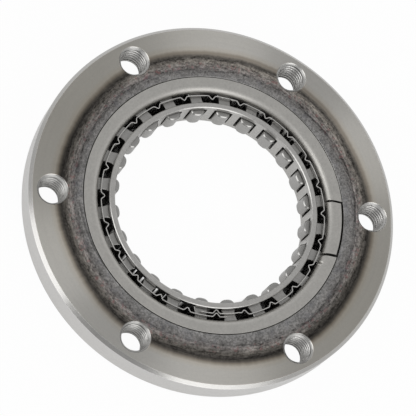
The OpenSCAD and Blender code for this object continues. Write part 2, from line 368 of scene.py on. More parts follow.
def outer_cage_mesh():
    wall_r = (OUTER_IR + OUTER_OR) / 2
    reach = HEAD_OFFSET + (HEAD_RIGHT - HEAD_OFFSET) * math.cos(rad(SPRAG_TILT))
    corner = math.sqrt(HEAD_R ** 2 - (HEAD_RIGHT - HEAD_OFFSET) ** 2)
    reach += corner * math.sin(rad(SPRAG_TILT))
    left, right = half_angle(HEAD_LEFT + SIDE_GAP, wall_r), half_angle(reach + SIDE_GAP, wall_r)
    low_in, low_out = (half_angle(e, wall_r) for e in LOWER_SLIT)
    up_in, up_out = (half_angle(e, wall_r) for e in UPPER_SLIT)
    tongue = TONGUE_ANGLE % 360
    stake_half, stake_step = 1.8, 0.18
    marks = []
    for a in SPRAG_ANGLES:
        marks += [a - left, a + right]
    marks += [tongue + e for e in (-low_out, -low_in, up_in, up_out)]
    marks += list(np.arange(STAKE_ANGLE - stake_half, STAKE_ANGLE + stake_half + 0.01, stake_step))
    first = marks[0] = SPRAG_ANGLES[0] - left
    marks = [m for m in marks if first <= m < first + 360]
    columns = spaced(marks + [first + 360], CAGE_STEP)[:-1]

    # The section: straight wall, bend, flange
    back_r = BEND_R + BEND_MORE
    front_r = back_r + SHEET_T
    bend_x, bend_z = OUTER_IR + front_r, FLANGE_Z - front_r
    bend_steps = 18
    stations = [((OUTER_IR, z), (OUTER_OR, z)) for z in (0, WINDOW_Z, WINDOW_TOP)]
    top_row = len(stations) - 1
    bend_start, bend_end = len(stations), len(stations) + bend_steps
    for t in np.linspace(0, 90, bend_steps + 1):
        c, s = math.cos(rad(t)), math.sin(rad(t))
        stations.append(((bend_x - front_r * c, bend_z + front_r * s),
                         (bend_x - back_r * c, bend_z + back_r * s)))
    for share in (0.33, 0.66, 0.9, 1):
        r = bend_x + (FLANGE_R + FLANGE_MORE - bend_x) * share
        stations.append(((r, FLANGE_Z), (r, FLANGE_Z - SHEET_T)))
    tongue_share = 1 - TONGUE_SETBACK / (FLANGE_R - bend_x)

    def place(a, r):
        """A column's angle at a radius: beside the slits the columns run parallel, as the slits do."""
        d = apart(a, tongue)
        near = abs(abs(d) - (up_in + up_out) / 2)
        # Full up to 2 degrees from a slit, none beyond 4
        w = min(1, max(0, (4 - near) / 2))
        bent = math.copysign(math.degrees(math.asin(min(1, wall_r * math.sin(rad(abs(d))) / r))), d)
        return tongue + d + (bent - d) * w

    n, m = len(columns), len(stations)
    front, back = np.zeros((n, m, 3)), np.zeros((n, m, 3))
    for j, a in enumerate(columns):
        in_tongue = -low_in - 1e-6 < apart(a, tongue) < up_in + 1e-6
        for k, ((fr, fz), (br, bz)) in enumerate(stations):
            if in_tongue and k > bend_end:
                fr = br = bend_x + (fr - bend_x) * tongue_share
            dent = stake_dent((a - STAKE_ANGLE) * rad(1) * fr, k, bend_start, bend_end)
            t = rad((k - bend_start) * 90 / bend_steps)
            fr, fz = fr + dent * math.cos(t), fz - dent * math.sin(t)
            front[j, k] = polar(fr, place(a, fr), fz)
            back[j, k] = polar(br, place(a, br), bz)
    cells = np.ones((n, m - 1), bool)
    for j, a in enumerate(middles(columns)):
        if any(-left < apart(a, s) < right for s in SPRAG_ANGLES):
            cells[j, WINDOW_ROW] = False
        if -low_out < apart(a, tongue) < -low_in or up_in < apart(a, tongue) < up_out:
            cells[j, top_row:] = False
    ob = thick_sheet("outer_cage_sheet", front, back, cells, True)
    tongue_edge = FLANGE_R - TONGUE_SETBACK - 0.1
    bevel_edges(ob, lambda x, y, z: math.hypot(x, y) > tongue_edge, width=0.08, segments=3)
    bevel_edges(ob, lambda x, y, z: z < 0.05, width=0.12, segments=3)
    bevel_edges(ob, lambda x, y, z: 1 < z, width=0.05, segments=2)
    return ob


def inner_cage_mesh():
    wall_r = (INNER_IR + INNER_OR) / 2
    half = half_angle(NOSE_R + NOSE_GAP, wall_r)
    marks = [a + s * half for a in SPRAG_ANGLES for s in (-1, 1)]
    columns = spaced(marks + [marks[0] + 360], CAGE_STEP)[:-1]
    stations = [0, WINDOW_Z, WINDOW_TOP, INNER_Z]
    front = np.array([[polar(INNER_IR, a, z) for z in stations] for a in columns])
    back = np.array([[polar(INNER_OR + INNER_MORE, a, z) for z in stations] for a in columns])
    cells = np.ones((len(columns), len(stations) - 1), bool)
    for j, a in enumerate(middles(columns)):
        if any(abs(apart(a, s)) < half for s in SPRAG_ANGLES):
            cells[j, WINDOW_ROW] = False
    ob = thick_sheet("inner_cage_ring", front, back, cells, True)

    def on_rim(z):
        return z < 0.05 or z > INNER_Z - 0.05

    bevel_edges(ob, lambda x, y, z: math.hypot(x, y) > wall_r and on_rim(z), width=OUTER_EDGE, segments=1)
    bevel_edges(ob, lambda x, y, z: on_rim(z), width=INNER_EDGE, segments=1, min_angle=60)
    bevel_edges(ob, lambda x, y, z: 1 < z < 9, width=0.06, segments=2)
    return ob


# ---------------------------------------------------------------- ribbon spring

def strip_radius(a):
    """The radius of the strip's middle layer: a ring with a hump in each crossbar, and its overlap."""
    t = abs((a - HUMP_PHASE + PITCH / 2) % PITCH - PITCH / 2) / HUMP_HALF
    hump = 0
    if t < 1:
        # A rounded wave with a sharper peak on it, which fades out towards the foot
        wave = (1 + math.cos(math.pi * t)) / 2
        peak = max(0, 1.06 - math.hypot(t, 0.18)) / 0.88
        hump = HUMP_H * (0.75 * wave + 0.25 * min(1, peak) * ease((1 - t) / 0.25))
    drop = OVERLAP_DROP * (1 - ease((a - STRIP_START - OVERLAP - MERGE) / MERGE))
    return STRIP_R - hump - drop


def ribbon_mesh():
    left, right = HEAD_LEFT + STRIP_SHIFT + SIDE_GAP, HEAD_RIGHT - STRIP_SHIFT + SIDE_GAP
    end_margin, column_step, least_step, slope_step = 0.2, 0.8, 0.05, 0.05

    def inside(a):
        return STRIP_START + end_margin < a < STRIP_END - end_margin

    windows, marks = [], [STRIP_START, STRIP_END]
    for turn in (0, 360, 720):
        for s in SPRAG_ANGLES:
            r = strip_radius(s + turn)
            window = (s + turn - half_angle(left, r), s + turn + half_angle(right, r))
            windows.append(window)
            marks += [m for m in window if inside(m)]
    first_hump = math.floor((STRIP_START - HUMP_PHASE) / PITCH)
    for i in range(first_hump, first_hump + SPRAG_COUNT + 4):
        humps = [HUMP_PHASE + i * PITCH + t * HUMP_HALF for t in np.linspace(-1.1, 1.1, 19)]
        marks += [a for a in humps if inside(a)]
    marks = sorted(marks)
    marks = [m for i, m in enumerate(marks) if i == 0 or m - marks[i - 1] > least_step]
    columns = spaced(marks, column_step)
    zs = [STRIP_INSET, WINDOW_Z, WINDOW_TOP, STRIP_INSET + STRIP_W]
    front, back = [], []
    for a in columns:
        p, after, before = (np.array(polar(strip_radius(b), b, 0)[:2])
                            for b in (a, a + slope_step, a - slope_step))
        d = after - before
        normal = np.array([d[1], -d[0]]) / np.linalg.norm(d)
        front.append([(*(p - normal * STRIP_T / 2), z) for z in zs])
        back.append([(*(p + normal * STRIP_T / 2), z) for z in zs])
    cells = np.ones((len(columns) - 1, len(zs) - 1), bool)
    for j in range(len(columns) - 1):
        middle = (columns[j] + columns[j + 1]) / 2
        if any(lo < middle < hi for lo, hi in windows):
            cells[j, WINDOW_ROW] = False
    ob = thick_sheet("ribbon_strip", np.array(front), np.array(back), cells, False)
    bevel_edges(ob, lambda x, y, z: True, width=0.045, segments=2, min_angle=60)
    return ob


# ---------------------------------------------------------------- sprags

def circles_meet(c1, r1, c2, r2):
    """Of the two points where two circles meet, the one with the larger x."""
    (x1, y1), (x2, y2) = c1, c2
    d = math.hypot(x2 - x1, y2 - y1)
    along = (r1 * r1 - r2 * r2 + d * d) / (2 * d)
    h = math.sqrt(max(0, r1 * r1 - along * along))
    ux, uy = (x2 - x1) / d, (y2 - y1) / d
    both = [(x1 + along * ux - s * h * uy, y1 + along * uy + s * h * ux) for s in (1, -1)]
    return max(both, key=lambda p: p[0])


def sprag_outline():
    nose, head = (NOSE_X, 0), (HEAD_X, HEAD_OFFSET)
    right_c = (WAIST_X, WAIST_W / 2 + RIGHT_FLANK_R)
    left_c = (LEFT_X, -LEFT_WAIST - LEFT_FLANK_R)

    def arc(c, r, p, q, steps, turn):
        a, b = (math.atan2(t[1] - c[1], t[0] - c[0]) for t in (p, q))
        while turn * (b - a) < 0:
            b += turn * 2 * math.pi
        return [(c[0] + r * math.cos(t), c[1] + r * math.sin(t)) for t in np.linspace(a, b, steps + 1)]

    crease = circles_meet(nose, NOSE_R, right_c, RIGHT_FLANK_R)
    right_top = (WAIST_X + math.sqrt(RIGHT_FLANK_R ** 2 - (right_c[1] - HEAD_RIGHT) ** 2), HEAD_RIGHT)
    corner = (HEAD_X + math.sqrt(HEAD_R ** 2 - (HEAD_RIGHT - HEAD_OFFSET) ** 2), HEAD_RIGHT)
    heel = circles_meet(head, HEAD_R, left_c, LEFT_FLANK_R)
    low = (LEFT_X - math.sqrt(LEFT_FLANK_R ** 2 - (left_c[1] + NOSE_R) ** 2), -NOSE_R)
    # The nose is a little blunter than a circle
    points = []
    for x, y in arc(nose, NOSE_R, (NOSE_X, -NOSE_R), crease, 48, -1):
        u, v = (x - NOSE_X) / NOSE_R, y / NOSE_R
        grow = 1 if u >= 0 else (abs(u) ** NOSE_POWER + abs(v) ** NOSE_POWER) ** (-1 / NOSE_POWER)
        points.append((NOSE_X + (x - NOSE_X) * grow, y * grow))
    points += arc(right_c, RIGHT_FLANK_R, crease, right_top, 12, 1)[1:]
    points += arc(head, HEAD_R, corner, heel, 12, -1)
    points += arc(left_c, LEFT_FLANK_R, heel, low, 14, 1)[1:]
    return np.array(points)


def sprag_mesh():
    points = sprag_outline()
    n = len(points)
    before, after = points - np.roll(points, 1, 0), np.roll(points, -1, 0) - points
    # The way in which each point moves in for the chamfers, no more than 1 / 0.6 of the chamfer at a corner
    normals = []
    for a, b in zip(before, after):
        a, b = a / np.linalg.norm(a), b / np.linalg.norm(b)
        mid = (a + b) / np.linalg.norm(a + b)
        out = np.array([-mid[1], mid[0]])
        normals.append(out / max(0.6, float(np.array([-a[1], a[0]]) @ out)))
    # The chamfers at the ends are tumbled smooth
    c, tumbled = SPRAG_CHAMFER + 0.04, 0.18
    steps = rounded([(3 * c, 0), (c, 0), (0, c), (0, 3 * c)], tumbled)[1:-1]
    rings = [(i, z) for i, z in steps] + [(i, SPRAG_L - z) for i, z in reversed(steps)]
    # The chamfer is broad round the nose and narrow along the flanks
    narrower, from_x, over = 0.68, NOSE_X - 0.6, 0.8
    share = [1 - narrower * ease((x - from_x) / over) for x in points[:, 0]]
    verts, faces = [], []
    for inset, z in rings:
        top = z > SPRAG_L / 2
        for p, out, k in zip(points, normals, share):
            q = p - out * inset * k
            height = SPRAG_L - (SPRAG_L - z) * k if top else z * k
            verts.append((q[0], q[1], SPRAG_INSET + height))
    for k in range(len(rings) - 1):
        for i in range(n):
            j = (i + 1) % n
            faces.append([k * n + i, k * n + j, (k + 1) * n + j, (k + 1) * n + i])
    faces.append(list(range(n)))
    faces.append([(len(rings) - 1) * n + i for i in range(n)])
    return make_object("sprag_body_01", verts, faces)


# ---------------------------------------------------------------- nodes of the materials

class Nodes:
    """Short names for building a material's nodes. Values are numbers, colours or sockets."""

    def __init__(self, name):
        self.mat = bpy.data.materials.new(name)
        self.mat.use_nodes = True
        self.tree = self.mat.node_tree
        self.shader = self.tree.nodes["Principled BSDF"]

    def add(self, kind, inputs=(), **props):
        node = self.tree.nodes.new(kind)
        for k, v in props.items():
            setattr(node, k, v)
        for k, v in dict(inputs).items():
            self.put(node.inputs[k], v)
        return node

    def put(self, socket, value):
        if isinstance(value, bpy.types.NodeSocket):
            self.tree.links.new(value, socket)
        elif isinstance(value, (tuple, list)) and socket.type == "RGBA":
            socket.default_value = (*value[:3], 1)
        else:
            socket.default_value = value

    def surface(self, inputs):
        """Sets or links the shader's own sockets."""
        for name, value in inputs.items():
            self.put(self.shader.inputs[name], value)

    def math(self, op, a, b=0.0):
        node = self.add("ShaderNodeMath", operation=op)
        for i, v in enumerate((a, b)):
            self.put(node.inputs[i], v)
        return node.outputs[0]

    def times(self, *values):
        return reduce(lambda a, b: self.math("MULTIPLY", a, b), values)

    def plus(self, a, b):
        return self.math("ADD", a, b)

    def minus(self, a, b):
        return self.math("SUBTRACT", a, b)

    def inverse(self, a):
        return self.minus(1.0, a)

    def larger(self, a, b):
        return self.math("MAXIMUM", a, b)

    def cosine(self, a):
        return self.math("COSINE", a)

    def swing(self, noise, amount):
        """A noise made to swing round 0."""
        return self.times(self.minus(noise, 0.5), amount)

    def mix(self, share, a, b, blend="MIX"):
        """A colour between a and b."""
        node = self.add("ShaderNodeMix", data_type="RGBA", blend_type=blend)
        for i, v in ((0, share), (6, a), (7, b)):
            self.put(node.inputs[i], v)
        return node.outputs[2]

    def shaded(self, colour, level):
        """A colour times a grey level."""
        return self.mix(1.0, colour, self.vector(level, level, level), "MULTIPLY")

    def blend(self, share, a, b):
        """A number between a and b."""
        node = self.add("ShaderNodeMix", data_type="FLOAT")
        for i, v in ((0, share), (2, a), (3, b)):
            self.put(node.inputs[i], v)
        return node.outputs[0]

    def noise(self, vector, scale=1.0, detail=3.0, rough=0.55):
        node = self.add("ShaderNodeTexNoise",
                        {"Vector": vector, "Scale": scale, "Detail": detail, "Roughness": rough})
        return node.outputs["Fac"]

    def ramp(self, value, stops):
        """A colour or grey that changes with a value; stops are (place, colour or grey)."""
        node = self.add("ShaderNodeValToRGB", {"Fac": value})
        ramp = node.color_ramp
        ramp.interpolation = "LINEAR"
        while len(ramp.elements) < len(stops):
            ramp.elements.new(0.5)
        for e, (at, v) in zip(ramp.elements, stops):
            e.position = at
            e.color = (*(v if isinstance(v, (tuple, list)) else (v, v, v)), 1)
        return node.outputs["Color"]

    def step(self, value, low, high):
        """0 below low, 1 above high, smooth between."""
        node = self.add("ShaderNodeMapRange", {"Value": value, "From Min": low, "From Max": high},
                        interpolation_type="SMOOTHSTEP")
        return node.outputs["Result"]

    def fall(self, value, low, high):
        """1 below low, 0 above high, smooth between."""
        return self.inverse(self.step(value, low, high))

    def between(self, value, a, b, c, d):
        """1 from b to c, 0 below a and above d."""
        return self.times(self.step(value, a, b), self.fall(value, c, d))

    def vector(self, x, y, z):
        return self.add("ShaderNodeCombineXYZ", {"X": x, "Y": y, "Z": z}).outputs[0]

    def place(self):
        """Reads the object position in millimetres as p, x, y, z, with its radius r and direction c, s."""
        coord = self.add("ShaderNodeTexCoord").outputs["Object"]
        scaled = self.add("ShaderNodeVectorMath", {0: coord, "Scale": 1 / MM}, operation="SCALE")
        self.p = scaled.outputs[0]
        self.x, self.y, self.z = self.add("ShaderNodeSeparateXYZ", {"Vector": self.p}).outputs
        self.r = self.math("SQRT", self.plus(self.times(self.x, self.x), self.times(self.y, self.y)))
        self.c, self.s = self.math("DIVIDE", self.x, self.r), self.math("DIVIDE", self.y, self.r)

    def circle(self, around, third):
        """A point for marks that run round the axis, around times finer than one radius."""
        return self.vector(self.times(self.c, around), self.times(self.s, around), third)

    def grooves(self, around, across):
        """The same, fine across the circle, on flat faces and on walls."""
        return self.circle(around, self.times(self.plus(self.r, self.z), across))

    def scaled(self, kx, ky, kz):
        """The position, stretched by a factor along each axis."""
        return self.vector(self.times(self.x, kx), self.times(self.y, ky), self.times(self.z, kz))

    def bump(self, height, distance, strength):
        node = self.add("ShaderNodeBump", {"Height": height, "Distance": distance, "Strength": strength})
        self.put(self.shader.inputs["Normal"], node.outputs[0])


def facing(n, x, y, azimuth):
    """How far a direction points towards an azimuth: 1 towards it, -1 away from it."""
    return n.plus(n.times(x, math.cos(rad(azimuth))), n.times(y, math.sin(rad(azimuth))))


# ---------------------------------------------------------------- materials

# Zones of the heat mark, as the radii between which each fades in or out
GRAINY_TO, BLUE_TO, OXIDE_TO, MOTTLE_TO = (37.2, 38.4), (38.6, 40.0), (40.6, 42.0), (41.3, 43.0)
SCRATCHED_FROM, STRAW_FROM = (36.6, 38.0), (41.5, 43.5)
RED_ZONE, DARK_BAND = (37.9, 38.7, 39.9, 40.6), (39.9, 40.7, 42.5, 43.3)
# Its colours from the cage's flange outwards, by radius
HEAT_FROM, HEAT_SPAN = 35.0, 12.0
HEAT_STOPS = (
    (35.6, (0.335, 0.330, 0.325)), (37.1, (0.315, 0.305, 0.297)), (38.3, (0.200, 0.192, 0.185)),
    (39.1, (0.300, 0.276, 0.262)), (39.9, (0.270, 0.252, 0.232)), (40.7, (0.190, 0.174, 0.155)),
    (41.4, (0.105, 0.097, 0.088)), (41.9, (0.092, 0.085, 0.077)), (42.5, (0.215, 0.196, 0.172)),
    (43.2, (0.490, 0.440, 0.380)), (43.9, (0.765, 0.728, 0.668)), (45.2, (0.795, 0.780, 0.748)))
RED_OXIDE, BLUE_OXIDE, GLINT = (0.36, 0.17, 0.165), (0.20, 0.205, 0.24), (0.62, 0.60, 0.57)
# The straw colour is partly a tint and partly painted shade from the turned face's sheen
STRAW_AND_SHEEN, STEEL, RIM_STEEL_AND_REFLECTION = (0.83, 0.815, 0.775), (0.550, 0.542, 0.525), (0.66, 0.65, 0.635)
# Where the mark is smudged inwards: azimuth, cosines where that starts and is full, inner radius, depth
SMUDGES = ((95, 0.84, 0.97, 37.4, 0.20), (203, 0.93, 0.99, 38.7, 0.34), (258, 0.94, 0.99, 37.6, 0.30))
# Thin lines across it: azimuth and radius of the middle, slope, bow, azimuths of both ends, depth
TIDE_LINES = ((-44, 39.25, 0.0, 0.0013, -70, -6, 0.42), (128, 36.66, -0.0356, 0.0, 120, 162, 0.40))


def heat_radius(n, angle, wander):
    """The radius as the heat mark has it: not quite concentric, and bowed outwards towards the holes."""
    lobes = n.cosine(n.times(angle, float(BOLT_COUNT)))
    lean = n.cosine(n.minus(angle, rad(255)))
    drift = n.noise(n.circle(2.2, 3.0), detail=2.0)
    rb = n.minus(n.r, n.plus(n.times(lobes, 0.22), n.times(lean, 0.6)))
    return n.plus(n.plus(rb, n.swing(drift, 1.0)), n.swing(wander, 0.5))


def oxide_mottle(n, rb, speck):
    """The streaks, specks, patches and scratches of the oxide, as a level that multiplies its colour."""
    streaks = n.noise(n.circle(14.0, n.times(n.r, 1.9)), detail=5.0, rough=0.74)
    rubbed = n.plus(n.times(n.step(streaks, 0.34, 0.64), 0.92), n.times(n.step(speck, 0.36, 0.66), 0.80))
    grained = n.plus(n.times(n.step(speck, 0.30, 0.70), 0.9), 0.52)
    rubbed = n.blend(n.step(rb, *GRAINY_TO), grained, n.plus(0.21, rubbed))
    patches = n.plus(0.47, n.noise(n.p, 0.28, rough=0.6))
    scratch = n.noise(n.circle(26.0, n.times(n.r, 2.4)), rough=0.6)
    smear = n.inverse(n.times(n.step(scratch, 0.56, 0.66), 0.5, n.step(rb, *SCRATCHED_FROM)))
    return n.blend(n.fall(rb, *MOTTLE_TO), 1.0, n.times(rubbed, n.times(patches, smear)))


def oxide_tints(n, heat, rb, oxide):
    """Red and blue patches in the oxide, and small glints where it has worn off."""
    red = n.times(n.between(rb, *RED_ZONE), n.step(n.noise(n.p, 0.9), 0.56, 0.64))
    heat = n.mix(n.times(red, 0.44), heat, RED_OXIDE)
    cloud = n.noise(n.p, 0.45, detail=2.0)
    blue = n.times(n.fall(rb, *BLUE_TO), n.step(cloud, 0.50, 0.70))
    heat = n.mix(n.times(blue, 0.22), heat, BLUE_OXIDE)
    glint = n.times(oxide, n.step(n.noise(n.p, 3.4, rough=0.7), 0.66, 0.72))
    return n.mix(n.times(glint, 0.7), heat, GLINT)


def band_level(n, angle, rb, wander):
    """The level of the mark round the ring: fainter on one side, smudged, and crossed by two tide lines."""
    fade = n.plus(n.times(n.cosine(angle), 0.42), n.times(n.cosine(n.times(angle, 2.0)), 0.28))
    band = n.blend(n.between(rb, *DARK_BAND), 1.0, n.plus(1.05, fade))
    smudge = 0.0
    for azimuth, start, full, low, depth in SMUDGES:
        there = n.step(n.cosine(n.minus(angle, rad(azimuth))), start, full)
        smudge = n.plus(smudge, n.times(there, depth, n.between(rb, low, low + 0.7, 40.4, 41.4)))
    band = n.times(band, n.inverse(smudge))
    degrees = n.times(angle, 180 / math.pi)
    fade_out = 8
    for middle, radius, slope, bow, start, end, depth in TIDE_LINES:
        turn = n.minus(degrees, middle)
        line_r = n.minus(n.plus(radius, n.times(turn, slope)), n.times(n.times(turn, turn), bow))
        off = n.minus(n.minus(n.r, line_r), n.swing(wander, 0.7))
        # Each line has a pale edge on its outside
        dark, pale = n.between(off, -0.55, -0.15, 0.08, 0.24), n.between(off, 0.2, 0.34, 0.46, 0.6)
        line = n.minus(dark, n.times(pale, 0.4))
        line = n.times(line, n.between(degrees, start, start + fade_out, end - fade_out, end))
        band = n.times(band, n.inverse(n.times(line, depth)))
    return band


def housing_material():
    n = Nodes("ground steel")
    n.place()
    angle = n.math("ARCTAN2", n.y, n.x)
    wander = n.noise(n.circle(30.0, 0.0))
    speck = n.noise(n.p, 1.9, detail=5.0, rough=0.76)
    rb = heat_radius(n, angle, wander)
    oxide = n.fall(rb, *OXIDE_TO)
    heat = n.ramp(n.math("DIVIDE", n.minus(rb, HEAT_FROM), HEAT_SPAN),
                  [((mm - HEAT_FROM) / HEAT_SPAN, colour) for mm, colour in HEAT_STOPS])
    heat = n.shaded(heat, oxide_mottle(n, rb, speck))
    heat = n.shaded(oxide_tints(n, heat, rb, oxide), band_level(n, angle, rb, wander))
    # A faint straw tint runs across the face, beyond the mark, darker and warmer in two opposite lobes:
    # partly a real tint, partly painted shade standing in for the dark lobes of the turned face's sheen
    straw_and_sheen = n.minus(0.5, n.times(n.cosine(n.times(angle, 2.0)), 0.5))
    straw_and_sheen = n.times(n.plus(0.25, n.times(straw_and_sheen, 0.75)), n.step(rb, *STRAW_FROM))
    heat = n.mix(straw_and_sheen, heat, STRAW_AND_SHEEN, "MULTIPLY")

    # The mark lies on the front face, and fainter on the back
    skin, skin_end = 0.02, 0.16
    face = n.step(n.z, MOUNT_Z - skin_end, MOUNT_Z - skin)
    rear = n.fall(n.z, BACK_Z + skin, BACK_Z + skin_end)
    # The outer wall gets lighter steel: partly a brighter finish, partly a painted reflection of the pale
    # floor below it
    wall = n.times(n.step(n.r, HOUSING_R - 0.3, HOUSING_R - 0.1),
                   n.between(n.z, BACK_Z + 0.7, BACK_Z + 1.0, MOUNT_Z - 1.0, MOUNT_Z - 0.8))
    steel = n.mix(wall, STEEL, RIM_STEEL_AND_REFLECTION)
    heated = n.mix(face, n.mix(rear, steel, n.mix(0.45, heat, steel)), heat)

    marks = n.noise(n.grooves(7.0, 6.0), detail=4.0, rough=0.7)
    broad = n.noise(n.grooves(3.0, 0.9))
    shade = n.plus(0.89, n.plus(n.times(marks, 0.12), n.times(broad, 0.10)))
    shade = n.plus(shade, n.swing(speck, 0.20))
    # Painted shade on the race, which lies hidden behind the cages
    race_painted_shade = n.fall(n.r, RACE_R + 0.2, RACE_R + 0.9)
    shade = n.times(shade, n.blend(race_painted_shade, 1.0, 0.5))
    # Painted shade in the seat under the cage's flange, and in the groove round it
    seat = n.times(n.fall(n.r, MOUTH_R - 0.02, MOUTH_R + 0.02), n.step(n.z, MOUTH_Z - 0.7, MOUTH_Z - 0.3))
    groove = n.times(n.fall(n.r, MOUTH_R + 0.02, MOUTH_R + 0.06),
                     n.fall(n.z, MOUNT_Z - MOUTH_EDGE - 0.15, MOUNT_Z - MOUTH_EDGE - 0.03),
                     n.step(n.z, MOUTH_Z - 0.3, MOUTH_Z))
    shade = n.times(shade, n.blend(n.larger(seat, groove), 1.0, 0.12))

    # Turned faces spread the light across their grooves, the bevels and walls much less
    flat_face = n.larger(face, rear)
    n.surface({
        "Base Color": n.shaded(heated, shade),
        "Metallic": 1.0,
        "Roughness": n.plus(n.blend(flat_face, 0.24, 0.54), n.swing(marks, 0.14)),
        "Anisotropic": n.times(flat_face, n.blend(oxide, 1.0, 0.5)),
        "Anisotropic Rotation": 0.25,
        "Tangent": n.add("ShaderNodeTangent", direction_type="RADIAL", axis="Z").outputs[0],
    })
    dull = n.times(face, oxide)
    n.bump(n.plus(n.times(marks, 0.5), n.times(speck, dull, 3.0)), distance=0.00003, strength=0.4)
    return n.mat


def cage_material(name, colour, roughness, marks_across, painted_shade, painted_shade_level):
    """The fifth argument says how much of the surface lies in the gap between the cages, where shade is
    painted into the colour; the sixth says how dark that painted shade is.
    """
    n = Nodes(name)
    n.place()
    marks = n.noise(n.grooves(9.0, marks_across), detail=4.0, rough=0.65)
    cloud = n.noise(n.p, 0.35)
    grain = n.noise(n.p, 5.0, rough=0.65)
    blotch = n.noise(n.p, 1.9, detail=2.0, rough=0.6)
    shade = n.plus(0.80, n.plus(n.times(marks, 0.18), n.times(cloud, 0.12)))
    shade = n.plus(n.plus(shade, n.times(grain, 0.10)), n.swing(blotch, 0.34))
    # Painted shade: the colour is darkened where the surface lies in the gap between the cages
    shade = n.times(shade, n.blend(painted_shade(n), 1.0, painted_shade_level))
    n.surface({
        "Base Color": n.shaded(colour, shade),
        "Metallic": 1.0,
        "Roughness": n.plus(roughness, n.times(n.minus(n.plus(marks, grain), 1.0), 0.14)),
    })
    n.bump(n.plus(marks, n.times(grain, 0.8)), distance=0.000015, strength=0.45)
    return n.mat


def sheet_painted_shade(n):
    """Painted shade on the outer cage: its wall, and the underside of its flange over the seat."""
    wall = n.between(n.z, 0.4, 0.9, 4.0, 8.0)
    seat = n.times(n.between(n.r, RACE_R + 0.4, RACE_R + 0.6, FLANGE_R - 0.2, FLANGE_R - 0.1),
                   n.fall(n.z, FLANGE_Z - 0.25, FLANGE_Z - 0.1))
    return n.larger(wall, seat)


def ring_painted_shade(n):
    """Painted shade on the inner cage's outside."""
    return n.times(n.step(n.r, INNER_IR + 0.3, INNER_OR - 0.1), n.between(n.z, 0.4, 0.9, 3.5, 9.0))


def spring_painted_shade(n):
    # Painted shade on the ribbon spring, in the gap between the cages
    return n.between(n.z, 0.5, 0.6, 4.0, 9.0)


def sprag_material():
    n = Nodes("hardened sprag steel")
    n.place()
    # The ends are sawn: fine lines across them, and a duller skin
    end = n.inverse(n.between(n.z, SPRAG_INSET + 0.005, SPRAG_INSET + 0.02,
                              SPRAG_TOP - 0.02, SPRAG_TOP - 0.005))
    lines = n.noise(n.scaled(0.8, 5.0, 1.0), rough=0.6)
    faced = n.mix(lines, (0.53, 0.523, 0.508), (0.33, 0.326, 0.316))
    faced = n.mix(n.fall(n.r, INNER_IR, INNER_IR + 0.6), faced, (0.42, 0.416, 0.405))
    # The flanks are drawn along their length, and painted dark as shade between the cages
    drawn = n.noise(n.scaled(8.0, 8.0, 0.5), rough=0.6)
    painted_shade_flanks = n.times(n.step(n.r, INNER_IR + 0.2, INNER_IR + 1.0),
                     n.fall(n.z, SPRAG_TOP - 0.5, SPRAG_TOP - 0.1))
    side = n.mix(n.times(drawn, 0.35), (0.46, 0.454, 0.441), (0.34, 0.336, 0.328))
    side = n.mix(painted_shade_flanks, side, (0.12, 0.118, 0.115))
    spots = n.noise(n.p, 3.0, rough=0.6)
    n.surface({
        "Base Color": n.mix(end, side, faced),
        "Metallic": 1.0,
        "Roughness": n.plus(n.blend(end, n.blend(painted_shade_flanks, 0.25, 0.62), 0.42), n.swing(spots, 0.14)),
    })
    n.bump(n.blend(end, n.times(drawn, 0.4), lines), distance=0.00002, strength=0.4)
    return n.mat


def thread_material():
    n = Nodes("cut thread")
    n.place()
    tear = n.noise(n.scaled(1.2, 1.2, 5.0), 1.2, detail=4.0, rough=0.7)
    # Painted light and shade: the crests are painted bright as a highlight and the roots dark as shade
    depth = n.math("DIVIDE", n.minus(n.r, THREAD_CREST_R), BOLT_R - THREAD_CREST_R)
    flank = n.ramp(depth, [(0.0, (0.92, 0.91, 0.89)), (0.14, (0.80, 0.79, 0.77)),
                           (0.42, (0.20, 0.198, 0.19)), (0.85, (0.05, 0.05, 0.048))])
    # The countersink cuts through the first turn and leaves it bright
    mouth = n.step(n.z, MOUNT_Z - 1.1, MOUNT_Z - 0.7)
    n.surface({
        "Base Color": n.shaded(n.mix(mouth, flank, (0.56, 0.555, 0.54)), n.plus(0.45, tear)),
        "Metallic": 1.0,
        "Roughness": n.plus(n.blend(mouth, 0.20, 0.34), n.times(tear, 0.25)),
    })
    n.bump(tear, distance=0.00005, strength=0.6)
    return n.mat


# ---------------------------------------------------------------- assembly

def dress(ob, material, body, slot, *nodes):
    if not ob.data.materials:
        ob.data.materials.append(material)
    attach(ob, body)
    if nodes:
        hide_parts(*nodes)


bodies = frame["record"]["behaviour"]["bodies"]
body_of = {member: body for body, members in bodies.items() for member in members}

ground, threads, hard = housing_material(), thread_material(), sprag_material()
# The last two arguments paint shade into each cage's colour in the gap between the cages
sheet = cage_material("drawn cage steel", (0.535, 0.523, 0.496), 0.44, 4.0, sheet_painted_shade, 0.16)
ring = cage_material("turned cage steel", (0.565, 0.556, 0.538), 0.30, 5.0, ring_painted_shade, 0.3)
spring = cage_material("spring steel", (0.66, 0.65, 0.63), 0.26, 6.0, spring_painted_shade, 0.35)

dress(finish_mesh(housing_mesh(), 40), ground, body_of["housing"], "ground_steel", "housing")
dress(finish_mesh(outer_cage_mesh(), 40), sheet, body_of["outer_cage"], "cage_steel", "outer_cage")
dress(finish_mesh(inner_cage_mesh(), 40), ring, body_of["inner_cage"], "inner_cage_steel", "inner_cage")
dress(finish_mesh(ribbon_mesh(), 50), spring, body_of["ribbon_spring"], "spring_steel", "ribbon_spring")


def hole_place(i):
    centre = Vector(polar(BOLT_CIRCLE_R, i * 360 / BOLT_COUNT, 0)) * MM
    return Matrix.Translation(centre) @ Matrix.Rotation(rad(THREAD_STARTS[i]), 4, "Z")


def sprag_place(i):
    return Matrix.Rotation(rad(SPRAG_ANGLES[i]), 4, "Z")


